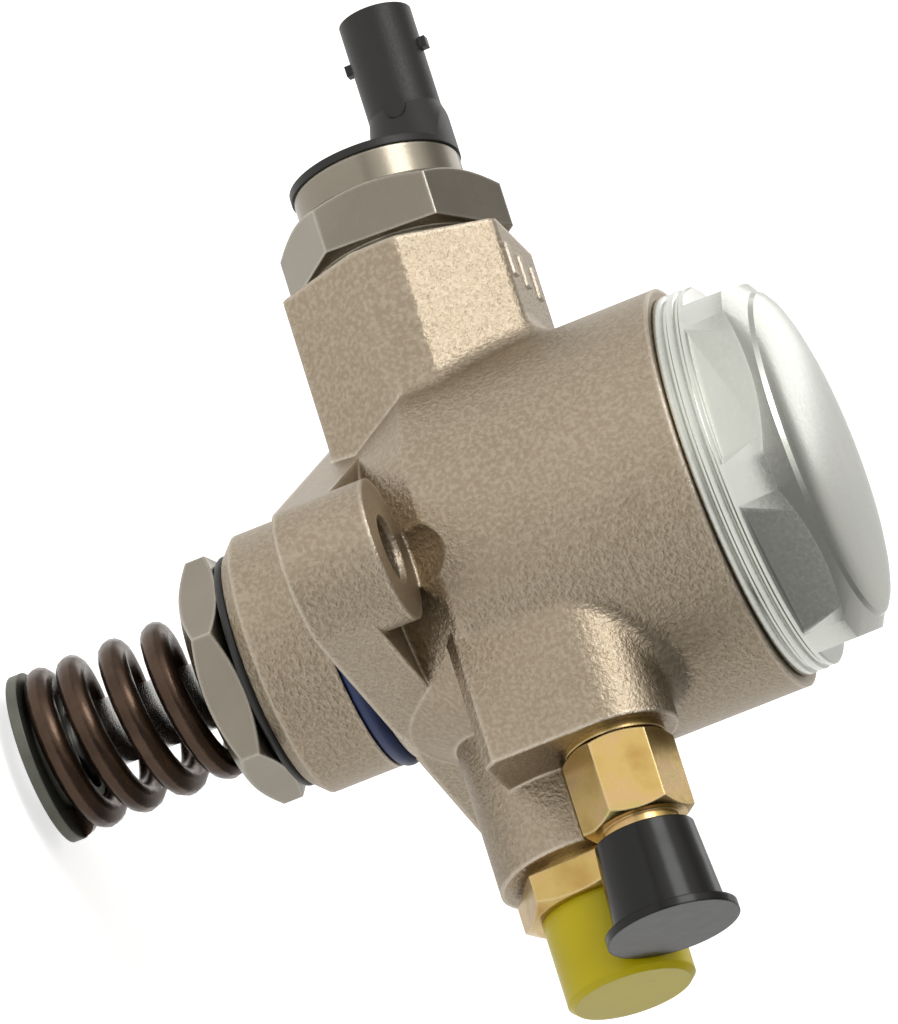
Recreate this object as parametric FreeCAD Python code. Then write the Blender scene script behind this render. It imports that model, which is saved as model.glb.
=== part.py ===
import FreeCAD, Part
import math
import os

# A single-piston high pressure fuel pump for a petrol engine.
# All sizes are in millimetres. The origin is the centre of the flange's mating face. +Z runs along
# the plunger axis towards the damper cap, the solenoid valve points along -X, and the fuel fittings
# point along +X. -Y is the side of the nearest bolt ear.

V = FreeCAD.Vector

# Flange, ears and bolt holes
FLANGE_THICKNESS = 8.5
EAR_RADIUS = 10.5
EAR_HEIGHT = 13.5
BOLT_CIRCLE_RADIUS = 37.5
BOLT_ANGLES = (276.0, 66.0, 138.0)
BOLT_HOLE_RADIUS = 4.5
BOLT_HOLE_CHAMFER = 0.6
HEAD_RELIEF_RADIUS = 10.8
HEAD_RELIEF_TOP_RADIUS = 7.4
HEAD_RELIEF_HEIGHT = 6.0

# Pilot that enters the engine, with its O-ring groove
PILOT_RADIUS = 19.5
PILOT_LENGTH = 16.0
PILOT_CHAMFER = 2.0
PILOT_RING_CORD = 3.0
PILOT_RING_SQUEEZE = 0.45
PILOT_RING_DROP = 0.5
PAD_RECESS_CLEARANCE = 0.5
PAD_RECESS_DEPTH = 0.4

# Barrel of the casting
BARREL_RADIUS = 30.0
BARREL_TOP = 55.0
SHOULDER_HEIGHT = 17.0
SHOULDER_ROUNDING = 1.5

# Valve boss, on the side of the solenoid
VALVE_HEIGHT = 19.6
VALVE_BOSS_FLATS = 33.0
VALVE_BOSS_SIDE = 17.1
VALVE_BOSS_ROUNDING = 1.8
VALVE_BOSS_REACH = 47.6
RIB_LENGTH = 5.0
RIB_WIDTH = 1.8
RIB_RISE = 0.35
RIB_PITCH = 6.2
RIB_SETBACK = 3.6
RIB_SHIFT = -1.2

# Outlet boss, on the same axis as the valve
OUTLET_BOSS_RADIUS = 13.6
OUTLET_BOSS_REACH = 45.5

# Fillet round the roots of the three bosses
CAST_FILLET = 4.0

# Inlet boss
INLET_HEIGHT = 31.0
INLET_BOSS_RADIUS = 9.5
INLET_BOSS_INSET = 4.6
INLET_Y = -(BARREL_RADIUS - INLET_BOSS_INSET - INLET_BOSS_RADIUS)
INLET_BOSS_REACH = 34.5
INLET_BOSS_FOOT = 14.0
INLET_BOSS_CHAMFER = 1.6
INLET_RELIEF_RADIUS = 9.2

# Passages
RISER_RADIUS = 2.8
FEED_RADIUS = 2.2
OVERCUT = 1.0

# Fits
SCREW_FIT = 0.05
PRESS_GAP = 0.02
RUNNING_FIT = 0.03
SEAT_GAP = 0.05

# Plunger, liner and pumping chamber
PLUNGER_RADIUS = 5.0
PLUNGER_TOP = 9.5
PLUNGER_END = -53.0
PLUNGER_CHAMFER = 0.6
LINER_RADIUS = 9.0
LINER_TOP = 15.0
LINER_FLANGE_RADIUS = 12.0
LINER_FLANGE_THICKNESS = 3.0
CHAMBER_RADIUS = 5.5
CHAMBER_TOP = 24.5

# Seal holder that closes the pilot from below
HOLDER_RADIUS = 16.0
HOLDER_TOP = -6.0
HOLDER_HEX_FLATS = 32.0
HOLDER_HEX_TOP = -17.4
HOLDER_HEX_THICKNESS = 6.0
HOLDER_HEX_ANGLE = 25.0
HOLDER_PLUNGER_GAP = 0.9
SPRING_POCKET_CLEARANCE = 0.6
SPRING_TOP = -11.5
SEAL_RADIUS = 8.5
SEAL_HEIGHT = 3.5
SEAL_WALL = 1.2
SEAL_BASE = 1.4
SEAL_EDGE = 1.0

# Return spring and its seat
SPRING_OUTER_RADIUS = 12.5
SPRING_WIRE = 4.2
SPRING_BOTTOM = -50.2
SPRING_TURNS = 6.25
SPRING_START_ANGLE = 108.0
SPRING_SEAT_RADIUS = 12.6
SPRING_SEAT_THICKNESS = 1.6
SEAT_HUB_RADIUS = 7.8
SEAT_HUB_HEIGHT = 4.6
KEEPER_GROOVE_DEPTH = 0.9
KEEPER_THICKNESS = 2.4
KEEPER_RADIUS = 6.6

# Damper chamber, cap and capsule
DAMPER_FLOOR = 38.0
DAMPER_RADIUS = 24.0
CAP_THREAD_RADIUS = 25.5
CAP_THREAD_START = 46.0
CAP_SPIGOT_END = 47.0
CAP_FLANGE_RADIUS = 28.5
CAP_FLANGE_THICKNESS = 5.0
CAP_RING_CORD = 1.8
CAP_HEX_FLATS = 52.0
CAP_HEX_ANGLE = 290.0
CAP_HEX_CORNER_LOSS = 1.5
CAP_HEX_TOP = 68.0
CAP_DOME_HEIGHT = 4.0
CAP_FACE_RADIUS = 24.5
CAP_INNER_RADIUS = 21.0
CAP_INNER_TOP = 61.0
CAPSULE_RADIUS = 23.2
CAPSULE_RIM = 2.6
DAMPER_RING_HEIGHT = 3.0
DIAPHRAGM_THICKNESS = 0.4
DIAPHRAGM_BULGE = 1.6
DIAPHRAGM_SLOPE = 2.0
DIAPHRAGM_SHELF = 4.0
DIAPHRAGM_HOLLOW = 0.6
DISC_SPRING_THICKNESS = 0.6
DISC_SPRING_OVERHANG = 0.5

# Solenoid housing, measured outwards along the valve axis
HOUSING_SHANK_RADIUS = 11.0
HOUSING_COLLAR_RADIUS = 13.2
HOUSING_COLLAR_THICKNESS = 2.2
HOUSING_HEX_FLATS = 29.0
HOUSING_HEX_THICKNESS = 8.2
HOUSING_HEX_ANGLE = 5.0
HOUSING_RIM_RADIUS = 12.3
HOUSING_RIM_LENGTH = 5.4
HOUSING_FLOOR = 5.0
HOUSING_SHELF_WIDTH = 2.0
HOUSING_SHELF_THICKNESS = 2.0
HOUSING_BORE_RADIUS = 9.8
CORE_FLANGE_THICKNESS = 3.0
PLUG_DEPTH = 4.4
COIL_FLANGE_THICKNESS = 1.5
COIL_TUBE_RADIUS = 5.2
COIL_TUBE_WALL = 0.9
COIL_RADIUS = 9.2
ARMATURE_RADIUS = 5.0
ARMATURE_LENGTH = 12.0
ARMATURE_SPRING_RADIUS = 2.6
ARMATURE_SPRING_WIRE = 0.8
ARMATURE_SPRING_TURNS = 4.0
ARMATURE_SPRING_CLEARANCE = 0.3
ARMATURE_SPRING_POCKET = 4.0
VALVE_LIFT = 0.5

# Metering valve
VALVE_BORE_RADIUS = 7.0
VALVE_SEAT_END = 12.0
VALVE_SEAT_LENGTH = 16.0
VALVE_PORT_RADIUS = 4.5
VALVE_PIN_RADIUS = 1.2
VALVE_DISC_RADIUS = 3.4
VALVE_DISC_THICKNESS = 1.4
VALVE_DISC_CHAMFER = 0.3
VALVE_LAND = 1.0
VALVE_CROSS_PORT_RADIUS = 1.5
VALVE_RING_CORD = 1.2
VALVE_RING_SETBACK = 3.0
VALVE_RING_GROOVE = 1.4
INTAKE_SPRING_RADIUS = 2.4
INTAKE_SPRING_WIRE = 0.5
INTAKE_SPRING_TURNS = 2.5
INTAKE_SPRING_STAND = 1.0
GALLERY_RADIUS = 8.6
GALLERY_START = 18.0
GALLERY_WIDTH = 5.0

# Connector
CONNECTOR_DISC_RADIUS = 12.6
CONNECTOR_DISC_THICKNESS = 1.2
CONNECTOR_RADIUS = 5.35
CONNECTOR_POST_LENGTH = 22.1
CONNECTOR_OFFSET = 6.9
CONNECTOR_FOOT_WIDTH = 1.6
CONNECTOR_FOOT_HEIGHT = 6.5
NUB_SIZE = 1.6
NUB_RISE = 0.9
NUB_SETBACK = 7.0
BUTTON_RADIUS = 1.6
BUTTON_RISE = 0.6
BUTTON_HEIGHT = 5.9
SOCKET_RADIUS = 4.3
SOCKET_DEPTH = 14.0
TERMINAL_LENGTH = 8.0
TERMINAL_WIDTH = 1.5
TERMINAL_THICKNESS = 0.64
TERMINAL_PITCH = 3.6
TERMINAL_ROOT = 4.0

# Outlet valve and fitting, measured outwards along the outlet axis
OUTLET_BORE_RADIUS = 8.0
OUTLET_BORE_START = 28.0
DISCHARGE_BORE_RADIUS = 7.0
DISCHARGE_SEAT_START = 10.0
DISCHARGE_SEAT_LENGTH = 6.0
DISCHARGE_PORT_RADIUS = 2.5
BALL_RADIUS = 3.0
BALL_LIFT = 0.7
BALL_STANDING = 0.62
DISCHARGE_SPRING_RADIUS = 2.6
DISCHARGE_SPRING_WIRE = 0.7
DISCHARGE_SPRING_TURNS = 5.0
DISCHARGE_SPRING_WRAP = 1.0
OUTLET_SPRING_POCKET = 4.0
OUTLET_WASHER_THICKNESS = 1.0
WASHER_WIDTH = 2.3
OUTLET_HEX_FLATS = 21.5
OUTLET_HEX_THICKNESS = 5.0
OUTLET_HEX_ANGLE = 5.0
OUTLET_NIPPLE_RADIUS = 7.9
OUTLET_NIPPLE_LENGTH = 10.5
NIPPLE_CHAMFER = 1.0
OUTLET_PASSAGE_RADIUS = 4.0
OUTLET_CONE_DEPTH = 4.0
OUTLET_CONE_WIDTH = 1.5
OUTLET_CAP_WALL = 1.4
OUTLET_CAP_LENGTH = 13.3
OUTLET_CAP_ROOM = 1.2
OUTLET_CAP_EDGE = 0.8

# Inlet fitting and filter
INLET_BORE_RADIUS = 5.0
INLET_BORE_START = 23.0
INLET_DRILL_RADIUS = 3.2
INLET_DRILL_END = 8.0
INLET_WASHER_THICKNESS = 1.0
INLET_HEX_FLATS = 14.0
INLET_HEX_THICKNESS = 11.9
INLET_HEX_ANGLE = -15.0
INLET_NIPPLE_RADIUS = 5.5
INLET_NIPPLE_LENGTH = 13.0
INLET_PASSAGE_RADIUS = 2.6
INLET_CAP_LENGTH = 14.2
INLET_CAP_GAP = 1.9
INLET_CAP_MOUTH_RADIUS = 7.2
INLET_CAP_END_RADIUS = 8.15
INLET_CAP_FLANGE_RADIUS = 9.6
INLET_CAP_FLANGE_THICKNESS = 1.3
INLET_CAP_ROOF = 1.9
FILTER_RADIUS = 3.0
FILTER_LENGTH = 10.0
FILTER_TAPER = 0.6
FILTER_SETBACK = 1.0
FILTER_WALL = 0.5

# Bevels of the hexagons
BEVEL_INSET = 0.2
BEVEL_ANGLE = 30.0


def turned(points):
    """A solid of revolution about Z from a list of (radius, height) points."""
    corners = [V(radius, 0, height) for radius, height in points]
    face = Part.Face(Part.makePolygon(corners + corners[:1]))
    return face.revolve(V(0, 0, 0), V(0, 0, 1), 360)


def rod(radius, start, end):
    """A plain cylinder about Z from one height to another."""
    return Part.makeCylinder(radius, end - start, V(0, 0, start))


def tube(outer, inner, start, end):
    """A plain ring about Z."""
    return rod(outer, start, end).cut(rod(inner, start, end))


def hexagon(flats, start, end, corner_angle):
    """A hexagonal prism about Z, with one corner at the given angle from X."""
    reach = flats / math.sqrt(3)
    corners = []
    for step in range(7):
        angle = math.radians(corner_angle + 60 * step)
        corners.append(V(reach * math.cos(angle), reach * math.sin(angle), start))
    return Part.Face(Part.makePolygon(corners)).extrude(V(0, 0, end - start))


def bevelled_hexagon(flats, start, end, corner_angle, bevel_start, bevel_end):
    """A hexagon whose corners are turned off at 30 degrees at each end that has a bevel."""
    corner = flats / math.sqrt(3)
    inner = flats / 2 - BEVEL_INSET
    fall = (corner - inner) * math.tan(math.radians(BEVEL_ANGLE))
    low = fall if bevel_start else 0.0
    high = fall if bevel_end else 0.0
    profile = [(0, start), (inner if bevel_start else corner, start)]
    profile += [(corner, start + low)] if bevel_start else []
    profile += [(corner, end - high), (inner, end)] if bevel_end else [(corner, end)]
    profile += [(0, end)]
    return hexagon(flats, start, end, corner_angle).common(turned(profile))


def ring_cord(centre_radius, cord, height):
    """An O-ring about Z."""
    return Part.makeTorus(centre_radius, cord / 2, V(0, 0, height))


def on_valve_axis(shape):
    """Stands a shape made about Z on the valve axis, so that it points along -X."""
    shape.rotate(V(0, 0, 0), V(0, 1, 0), -90)
    shape.translate(V(0, 0, VALVE_HEIGHT))
    return shape


def on_outlet_axis(shape):
    """Stands a shape made about Z on the outlet axis, so that it points along +X."""
    shape.rotate(V(0, 0, 0), V(0, 1, 0), 90)
    shape.translate(V(0, 0, VALVE_HEIGHT))
    return shape


def on_inlet_axis(shape):
    """Stands a shape made about Z on the inlet axis, so that it points along +X."""
    shape.rotate(V(0, 0, 0), V(0, 1, 0), 90)
    shape.translate(V(0, INLET_Y, INLET_HEIGHT))
    return shape


def coil_spring(mean_radius, wire, start, end, turns):
    """A coil spring about Z with flat ground ends."""
    pitch = (end - start) / turns
    path = Part.makeHelix(pitch, end - start, mean_radius)
    path.translate(V(0, 0, start))
    section = Part.Wire(Part.makeCircle(wire / 2, V(mean_radius, 0, start), V(0, 1, 0)))
    coil = Part.Wire(path).makePipeShell([section], True, True)
    slab = tube(mean_radius + wire, max(mean_radius - wire, wire / 10), start, end)
    return coil.common(slab)


def bolt_places():
    """The centres of the three bolt holes, anticlockwise."""
    places = []
    for angle in BOLT_ANGLES:
        turn = math.radians(angle)
        places.append(V(BOLT_CIRCLE_RADIUS * math.cos(turn), BOLT_CIRCLE_RADIUS * math.sin(turn), 0))
    return places


def flange_plate():
    """The three-eared plate: arcs round the bolt holes joined by straight edges."""
    places = bolt_places()
    count = len(places)
    normals = []
    for index in range(count):
        run = places[(index + 1) % count] - places[index]
        normals.append(V(run.y, -run.x, 0).normalize())
    edges = []
    for index in range(count):
        centre = places[index]
        before = normals[index - 1]
        after = normals[index]
        middle = (before + after).normalize()
        entry = centre + before * EAR_RADIUS
        leave = centre + after * EAR_RADIUS
        edges.append(Part.Arc(entry, centre + middle * EAR_RADIUS, leave).toShape())
        arrival = places[(index + 1) % count] + after * EAR_RADIUS
        edges.append(Part.LineSegment(leave, arrival).toShape())
    return Part.Face(Part.Wire(edges)).extrude(V(0, 0, FLANGE_THICKNESS))


def body_barrel():
    """The barrel, which narrows to the pilot's size at the flange."""
    barrel = turned([
        (0, 0),
        (PILOT_RADIUS, 0),
        (BARREL_RADIUS, SHOULDER_HEIGHT),
        (BARREL_RADIUS, BARREL_TOP),
        (0, BARREL_TOP),
    ])
    ridge = [edge for edge in barrel.Edges
             if abs(edge.BoundBox.ZMin - SHOULDER_HEIGHT) < 1e-6
             and abs(edge.BoundBox.ZMax - SHOULDER_HEIGHT) < 1e-6
             and edge.Curve.Radius > BARREL_RADIUS - 1e-6]
    return barrel.makeFillet(SHOULDER_ROUNDING, ridge)


def pilot():
    """The turned spigot below the flange."""
    ring_middle = -PILOT_RING_DROP - PILOT_RING_CORD / 2
    groove_floor = PILOT_RADIUS + PILOT_RING_SQUEEZE - PILOT_RING_CORD
    groove = tube(PILOT_RADIUS + OVERCUT, groove_floor, ring_middle - PILOT_RING_CORD / 2,
                  ring_middle + PILOT_RING_CORD / 2)
    spigot = turned([
        (0, -PILOT_LENGTH),
        (PILOT_RADIUS - PILOT_CHAMFER, -PILOT_LENGTH),
        (PILOT_RADIUS, -PILOT_LENGTH + PILOT_CHAMFER),
        (PILOT_RADIUS, 0),
        (0, 0),
    ])
    return spigot.cut(groove)


def valve_boss():
    """The six-sided boss that the solenoid screws into, with both side corners cut flat."""
    block = hexagon(VALVE_BOSS_FLATS, 0, VALVE_BOSS_REACH, 90)
    block = block.common(Part.makeBox(2 * VALVE_BOSS_FLATS, 2 * VALVE_BOSS_SIDE, VALVE_BOSS_REACH,
                                      V(-VALVE_BOSS_FLATS, -VALVE_BOSS_SIDE, 0)))
    long_edges = [edge for edge in block.Edges
                  if edge.BoundBox.ZLength > VALVE_BOSS_REACH - 1e-3]
    return on_valve_axis(block.makeFillet(VALVE_BOSS_ROUNDING, long_edges))


def boss_ribs():
    """Three low ribs on the upper side of the valve boss, near its end."""
    ribs = []
    for step in (-1, 0, 1):
        corner = V(VALVE_BOSS_FLATS / 2 - RIB_RISE, step * RIB_PITCH + RIB_SHIFT - RIB_WIDTH / 2,
                   VALVE_BOSS_REACH - RIB_SETBACK - RIB_LENGTH)
        ribs.append(on_valve_axis(Part.makeBox(2 * RIB_RISE, RIB_WIDTH, RIB_LENGTH, corner)))
    return ribs


def inlet_boss():
    """The inlet boss: round on top, with a flat foot that runs down towards the flange."""
    top = INLET_HEIGHT
    foot = INLET_BOSS_FOOT
    slant = INLET_BOSS_CHAMFER
    left = INLET_Y - INLET_BOSS_RADIUS
    right = INLET_Y + INLET_BOSS_RADIUS
    edges = [
        Part.LineSegment(V(0, left, foot + slant), V(0, left, top)).toShape(),
        Part.Arc(V(0, left, top), V(0, INLET_Y, top + INLET_BOSS_RADIUS), V(0, right, top)).toShape(),
        Part.LineSegment(V(0, right, top), V(0, right, foot)).toShape(),
        Part.LineSegment(V(0, right, foot), V(0, left + slant, foot)).toShape(),
        Part.LineSegment(V(0, left + slant, foot), V(0, left, foot + slant)).toShape(),
    ]
    return Part.Face(Part.Wire(edges)).extrude(V(INLET_BOSS_REACH, 0, 0))


def body_passages():
    """Everything that is bored out of the casting."""
    damper = turned([
        (0, DAMPER_FLOOR),
        (DAMPER_RADIUS, DAMPER_FLOOR),
        (DAMPER_RADIUS, CAP_THREAD_START),
        (CAP_THREAD_RADIUS, CAP_THREAD_START),
        (CAP_THREAD_RADIUS, BARREL_TOP),
        (0, BARREL_TOP),
    ])
    plunger_bore = turned([
        (0, -PILOT_LENGTH),
        (HOLDER_RADIUS, -PILOT_LENGTH),
        (HOLDER_RADIUS, HOLDER_TOP),
        (LINER_FLANGE_RADIUS + PRESS_GAP, HOLDER_TOP),
        (LINER_FLANGE_RADIUS + PRESS_GAP, HOLDER_TOP + LINER_FLANGE_THICKNESS),
        (LINER_RADIUS + PRESS_GAP, HOLDER_TOP + LINER_FLANGE_THICKNESS),
        (LINER_RADIUS + PRESS_GAP, LINER_TOP),
        (CHAMBER_RADIUS, LINER_TOP),
        (CHAMBER_RADIUS, CHAMBER_TOP),
        (0, CHAMBER_TOP),
    ])
    housing_end = housing_levels()[0]
    valve_bore = on_valve_axis(turned([
        (0, 0),
        (VALVE_PORT_RADIUS, 0),
        (VALVE_PORT_RADIUS, VALVE_SEAT_END),
        (VALVE_BORE_RADIUS, VALVE_SEAT_END),
        (VALVE_BORE_RADIUS, GALLERY_START),
        (GALLERY_RADIUS, GALLERY_START),
        (GALLERY_RADIUS, GALLERY_START + GALLERY_WIDTH),
        (VALVE_BORE_RADIUS, GALLERY_START + GALLERY_WIDTH),
        (VALVE_BORE_RADIUS, housing_end),
        (HOUSING_SHANK_RADIUS, housing_end),
        (HOUSING_SHANK_RADIUS, VALVE_BOSS_REACH),
        (0, VALVE_BOSS_REACH),
    ]))
    outlet_bore = on_outlet_axis(turned([
        (0, 0),
        (DISCHARGE_PORT_RADIUS, 0),
        (DISCHARGE_PORT_RADIUS, DISCHARGE_SEAT_START),
        (DISCHARGE_BORE_RADIUS, DISCHARGE_SEAT_START),
        (DISCHARGE_BORE_RADIUS, OUTLET_BORE_START),
        (OUTLET_BORE_RADIUS, OUTLET_BORE_START),
        (OUTLET_BORE_RADIUS, OUTLET_BOSS_REACH),
        (0, OUTLET_BOSS_REACH),
    ]))
    inlet_bore = on_inlet_axis(turned([
        (0, INLET_DRILL_END),
        (INLET_DRILL_RADIUS, INLET_DRILL_END),
        (INLET_DRILL_RADIUS, INLET_BORE_START),
        (INLET_BORE_RADIUS, INLET_BORE_START),
        (INLET_BORE_RADIUS, INLET_BOSS_REACH),
        (0, INLET_BOSS_REACH),
    ]))
    riser = rod(RISER_RADIUS, INLET_HEIGHT, DAMPER_FLOOR + OVERCUT)
    riser.translate(V(INLET_DRILL_END + INLET_DRILL_RADIUS, INLET_Y, 0))
    feed = rod(FEED_RADIUS, VALVE_HEIGHT + VALVE_BORE_RADIUS, DAMPER_FLOOR + OVERCUT)
    feed.translate(V(-GALLERY_START - GALLERY_WIDTH / 2, 0, 0))
    return [damper, plunger_bore, valve_bore, outlet_bore, inlet_bore, riser, feed]


def cast_root(boss):
    """The fillet that the casting has round the root of a boss, above the barrel's shoulder."""
    core = rod(BARREL_RADIUS, -BARREL_TOP, 2 * BARREL_TOP)
    joined = core.fuse(boss).removeSplitter()
    root = []
    for edge in joined.Edges:
        box = edge.BoundBox
        first, last = edge.FirstParameter, edge.LastParameter
        places = [edge.valueAt(first + (last - first) * share) for share in (0.0, 0.3, 0.7, 1.0)]
        on_barrel = all(abs(math.hypot(place.x, place.y) - BARREL_RADIUS) < 0.01 for place in places)
        if on_barrel and box.ZMin > -BARREL_TOP and box.ZMax < 2 * BARREL_TOP:
            root.append(edge)
    above = rod(2 * VALVE_BOSS_REACH, SHOULDER_HEIGHT, BARREL_TOP)
    return joined.makeFillet(CAST_FILLET, root).cut(core).common(above)


def inlet_relief():
    """The room that a socket needs round the inlet hexagon, cut into the outlet boss."""
    return on_inlet_axis(rod(INLET_RELIEF_RADIUS, INLET_BOSS_REACH, OUTLET_BOSS_REACH + OVERCUT))


def bolt_cuts():
    """The bolt holes and the room that each bolt head needs above its ear."""
    cuts = []
    for place in bolt_places():
        top = EAR_HEIGHT
        hole = turned([
            (0, -OVERCUT),
            (BOLT_HOLE_RADIUS, -OVERCUT),
            (BOLT_HOLE_RADIUS, top - BOLT_HOLE_CHAMFER),
            (BOLT_HOLE_RADIUS + BOLT_HOLE_CHAMFER, top),
            (HEAD_RELIEF_RADIUS, top),
            (HEAD_RELIEF_TOP_RADIUS, top + HEAD_RELIEF_HEIGHT),
            (0, top + HEAD_RELIEF_HEIGHT),
        ])
        hole.translate(place)
        cuts.append(hole)
    return cuts


def pump_body():
    """The casting with its machined bores."""
    body = flange_plate()
    ears = []
    for place in bolt_places():
        ears.append(Part.makeCylinder(EAR_RADIUS, EAR_HEIGHT, place))
    outlet_boss = on_outlet_axis(rod(OUTLET_BOSS_RADIUS, 0, OUTLET_BOSS_REACH))
    bosses = [valve_boss(), outlet_boss, inlet_boss()]
    roots = [cast_root(boss) for boss in bosses]
    body = body.fuse(ears + [body_barrel()] + bosses + roots + boss_ribs())
    recess_radius = PILOT_RADIUS + PILOT_RING_SQUEEZE + PAD_RECESS_CLEARANCE
    body = body.cut(bolt_cuts() + [inlet_relief(), rod(recess_radius, 0, PAD_RECESS_DEPTH)])
    body = body.fuse([pilot(), rod(PILOT_RADIUS, 0, PAD_RECESS_DEPTH)])
    body = body.cut(body_passages())
    return body.removeSplitter()


def pilot_o_ring():
    middle = -PILOT_RING_DROP - PILOT_RING_CORD / 2
    radius = PILOT_RADIUS + PILOT_RING_SQUEEZE - PILOT_RING_CORD / 2
    return ring_cord(radius, PILOT_RING_CORD, middle)


def cylinder_liner():
    """The sleeve that the plunger runs in."""
    bore = PLUNGER_RADIUS + RUNNING_FIT
    flange_top = HOLDER_TOP + LINER_FLANGE_THICKNESS
    return turned([
        (bore, HOLDER_TOP),
        (LINER_FLANGE_RADIUS, HOLDER_TOP),
        (LINER_FLANGE_RADIUS, flange_top),
        (LINER_RADIUS, flange_top),
        (LINER_RADIUS, LINER_TOP),
        (bore, LINER_TOP),
    ])


def seal_holder():
    """The hexagon-headed bush that holds the plunger seal and the top of the spring."""
    shank = HOLDER_RADIUS - SCREW_FIT
    pocket = SPRING_OUTER_RADIUS + SPRING_POCKET_CLEARANCE
    hex_bottom = HOLDER_HEX_TOP - HOLDER_HEX_THICKNESS
    head = bevelled_hexagon(HOLDER_HEX_FLATS, hex_bottom, HOLDER_HEX_TOP, HOLDER_HEX_ANGLE, True, True)
    spigot = rod(shank, HOLDER_HEX_TOP, HOLDER_TOP)
    inside = turned([
        (0, hex_bottom),
        (pocket, hex_bottom),
        (pocket, SPRING_TOP),
        (PLUNGER_RADIUS + HOLDER_PLUNGER_GAP, SPRING_TOP),
        (PLUNGER_RADIUS + HOLDER_PLUNGER_GAP, HOLDER_TOP - SEAL_HEIGHT),
        (SEAL_RADIUS, HOLDER_TOP - SEAL_HEIGHT),
        (SEAL_RADIUS, HOLDER_TOP),
        (0, HOLDER_TOP),
    ])
    return head.fuse(spigot).cut(inside)


def seal_holder_o_ring():
    """The ring squeezed between the bush's head and the end of the pilot."""
    cord = -PILOT_LENGTH - HOLDER_HEX_TOP
    return ring_cord(HOLDER_RADIUS + cord / 2, cord, HOLDER_HEX_TOP + cord / 2)


def plunger_seal():
    """The lip seal round the plunger."""
    bottom = HOLDER_TOP - SEAL_HEIGHT
    lip = PLUNGER_RADIUS + RUNNING_FIT
    outer = SEAL_RADIUS - PRESS_GAP
    return turned([
        (lip, bottom),
        (outer, bottom),
        (outer, HOLDER_TOP),
        (outer - SEAL_WALL, HOLDER_TOP),
        (outer - SEAL_WALL, bottom + SEAL_BASE),
        (lip + SEAL_WALL, bottom + SEAL_BASE),
        (lip, bottom + SEAL_EDGE),
    ])


def plunger():
    """The ground plunger, with a groove near its foot for the keeper."""
    seat_top = SPRING_BOTTOM + SEAT_HUB_HEIGHT
    groove_bottom = seat_top - KEEPER_THICKNESS
    waist = PLUNGER_RADIUS - KEEPER_GROOVE_DEPTH
    return turned([
        (0, PLUNGER_END),
        (PLUNGER_RADIUS - PLUNGER_CHAMFER, PLUNGER_END),
        (PLUNGER_RADIUS, PLUNGER_END + PLUNGER_CHAMFER),
        (PLUNGER_RADIUS, groove_bottom),
        (waist, groove_bottom),
        (waist, seat_top),
        (PLUNGER_RADIUS, seat_top),
        (PLUNGER_RADIUS, PLUNGER_TOP - PLUNGER_CHAMFER),
        (PLUNGER_RADIUS - PLUNGER_CHAMFER, PLUNGER_TOP),
        (0, PLUNGER_TOP),
    ])


def spring_seat():
    """The pressed plate under the spring, with a hub that holds the keeper."""
    bottom = SPRING_BOTTOM - SPRING_SEAT_THICKNESS
    seat_top = SPRING_BOTTOM + SEAT_HUB_HEIGHT
    shelf = seat_top - KEEPER_THICKNESS
    return turned([
        (PLUNGER_RADIUS + PRESS_GAP, bottom),
        (SPRING_SEAT_RADIUS, bottom),
        (SPRING_SEAT_RADIUS, SPRING_BOTTOM),
        (SEAT_HUB_RADIUS, SPRING_BOTTOM),
        (SEAT_HUB_RADIUS, seat_top),
        (KEEPER_RADIUS + PRESS_GAP, seat_top),
        (KEEPER_RADIUS + PRESS_GAP, shelf),
        (PLUNGER_RADIUS + PRESS_GAP, shelf),
    ])


def spring_keeper():
    """The slotted keeper ring that sits in the plunger's groove."""
    seat_top = SPRING_BOTTOM + SEAT_HUB_HEIGHT
    waist = PLUNGER_RADIUS - KEEPER_GROOVE_DEPTH + PRESS_GAP
    ring = tube(KEEPER_RADIUS, waist, seat_top - KEEPER_THICKNESS, seat_top)
    slot = Part.makeBox(KEEPER_RADIUS + OVERCUT, 2 * waist, KEEPER_THICKNESS,
                        V(0, -waist, seat_top - KEEPER_THICKNESS))
    return ring.cut(slot)


def return_spring():
    """The return spring round the plunger, with its end turns ground flat."""
    mean = SPRING_OUTER_RADIUS - SPRING_WIRE / 2
    coil = coil_spring(mean, SPRING_WIRE, SPRING_BOTTOM, SPRING_TOP, SPRING_TURNS)
    coil.rotate(V(0, 0, 0), V(0, 0, 1), SPRING_START_ANGLE)
    return coil


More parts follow.
